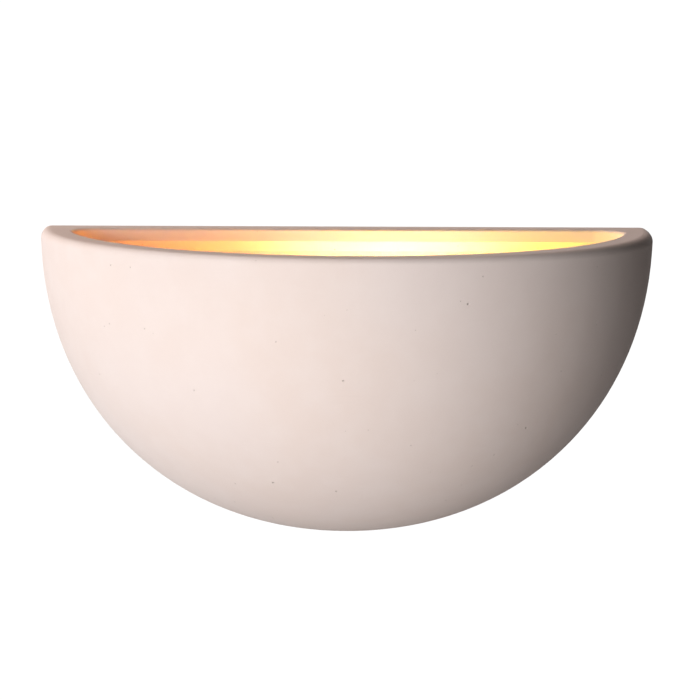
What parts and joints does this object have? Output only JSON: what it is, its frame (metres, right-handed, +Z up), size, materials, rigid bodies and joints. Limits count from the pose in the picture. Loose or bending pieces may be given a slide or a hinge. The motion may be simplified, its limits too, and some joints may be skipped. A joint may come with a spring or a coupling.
{
  "type": "uplighter wall sconce",
  "caption": "Half-bowl uplighter for a wall: an unglazed ceramic bowl hung on a slotted steel wall bracket that carries a lampholder and screw-in lamp inside.",
  "frame": {"origin": "on the wall plane, midway between the two wall screw slots", "axes": "+Z up, +Y into the wall, -Y out to the room, +X to the right as seen from the room; the wall is the plane y = 0"},
  "size_m": [0.3198, 0.1576, 0.1593],
  "materials": {
    "bisque_ceramic": "unglazed biscuit-fired ceramic, matt, off-white with a faint pink cast, very fine grain and a few pinholes",
    "white_powder_coat": "white powder coat on pressed steel, satin with a fine orange-peel",
    "white_silicone": "off-white silicone rubber, matt",
    "zinc_steel": "bright zinc plated steel",
    "brass_screw": "plain brass, machined",
    "tinned_copper": "tinned copper, soft sheen",
    "white_moulding": "white heat-resistant moulding, satin gloss",
    "porcelain": "white electrical porcelain, glazed",
    "nickel_brass": "thin nickel plated brass shell, rolled thread",
    "spring_bronze": "phosphor bronze strip",
    "brass": "turned brass",
    "brown_wire": "brown silicone insulation",
    "blue_wire": "blue silicone insulation",
    "earth_wire": "green insulation with a yellow stripe",
    "glass_sleeving": "braided glass-fibre sleeving, off-white",
    "frosted_glass": "inside-frosted lamp glass, warm",
    "lamp_cap_metal": "bright aluminium lamp cap",
    "black_vitrite": "black glass insulator",
    "solder": "soft solder, dull grey",
    "clear_glass": "clear glass stem",
    "lead_wire": "nickel lead wire",
    "tungsten": "coiled tungsten"
  },
  "bodies": {
    "fixture": {"wall_bracket": "white_powder_coat", "lamp_arm": "white_powder_coat", "hook_boots": "white_silicone", "cable_grommet": "white_silicone", "arm_rivets": "zinc_steel", "threaded_nipple": "zinc_steel", "nipple_locknut": "zinc_steel", "nipple_lockwasher": "zinc_steel", "earth_screw": "brass_screw", "earth_lockwasher": "zinc_steel", "earth_tag": "tinned_copper", "block_screws": "zinc_steel", "terminal_clamp_screws": "zinc_steel", "holder_terminal_screws": "zinc_steel", "lampholder_rear_cap": "white_moulding", "lampholder_body": "white_moulding", "contact_insert": "porcelain", "terminal_block": "porcelain", "lampholder_thread": "nickel_brass", "centre_contact": "spring_bronze", "holder_terminals": "brass", "terminal_barrels": "brass", "wire_live": "brown_wire", "wire_neutral": "blue_wire", "wire_earth": "earth_wire", "wire_sleeving": "glass_sleeving"},
    "bowl": {"ceramic_bowl": "bisque_ceramic"},
    "lamp_glass": {"bulb_glass": "frosted_glass"},
    "lamp_base": {"bulb_cap": "lamp_cap_metal", "bulb_insulator": "black_vitrite", "bulb_contact": "solder", "bulb_stem": "clear_glass", "bulb_leads": "lead_wire", "bulb_filament": "tungsten"}
  },
  "joints": [
    {"name": "bowl_lift", "type": "slide", "parent": "fixture", "child": "bowl", "axis": [0, 0, 1], "range_m": [0, 0.0085]},
    {"name": "lamp_withdraw", "type": "slide", "parent": "fixture", "child": "lamp_glass", "axis": [1, 0, 0], "range_m": [0, 0.01814]},
    {"name": "lamp_turn", "type": "hinge", "parent": "lamp_glass", "child": "lamp_base", "pos_m": [-0.03, -0.066, -0.03], "axis": [1, 0, 0], "range_deg": [0, 1800]}
  ],
  "couplings": [
    {"joint": "lamp_turn", "follows": "lamp_withdraw", "rad_per_m": 1731.4}
  ]
}
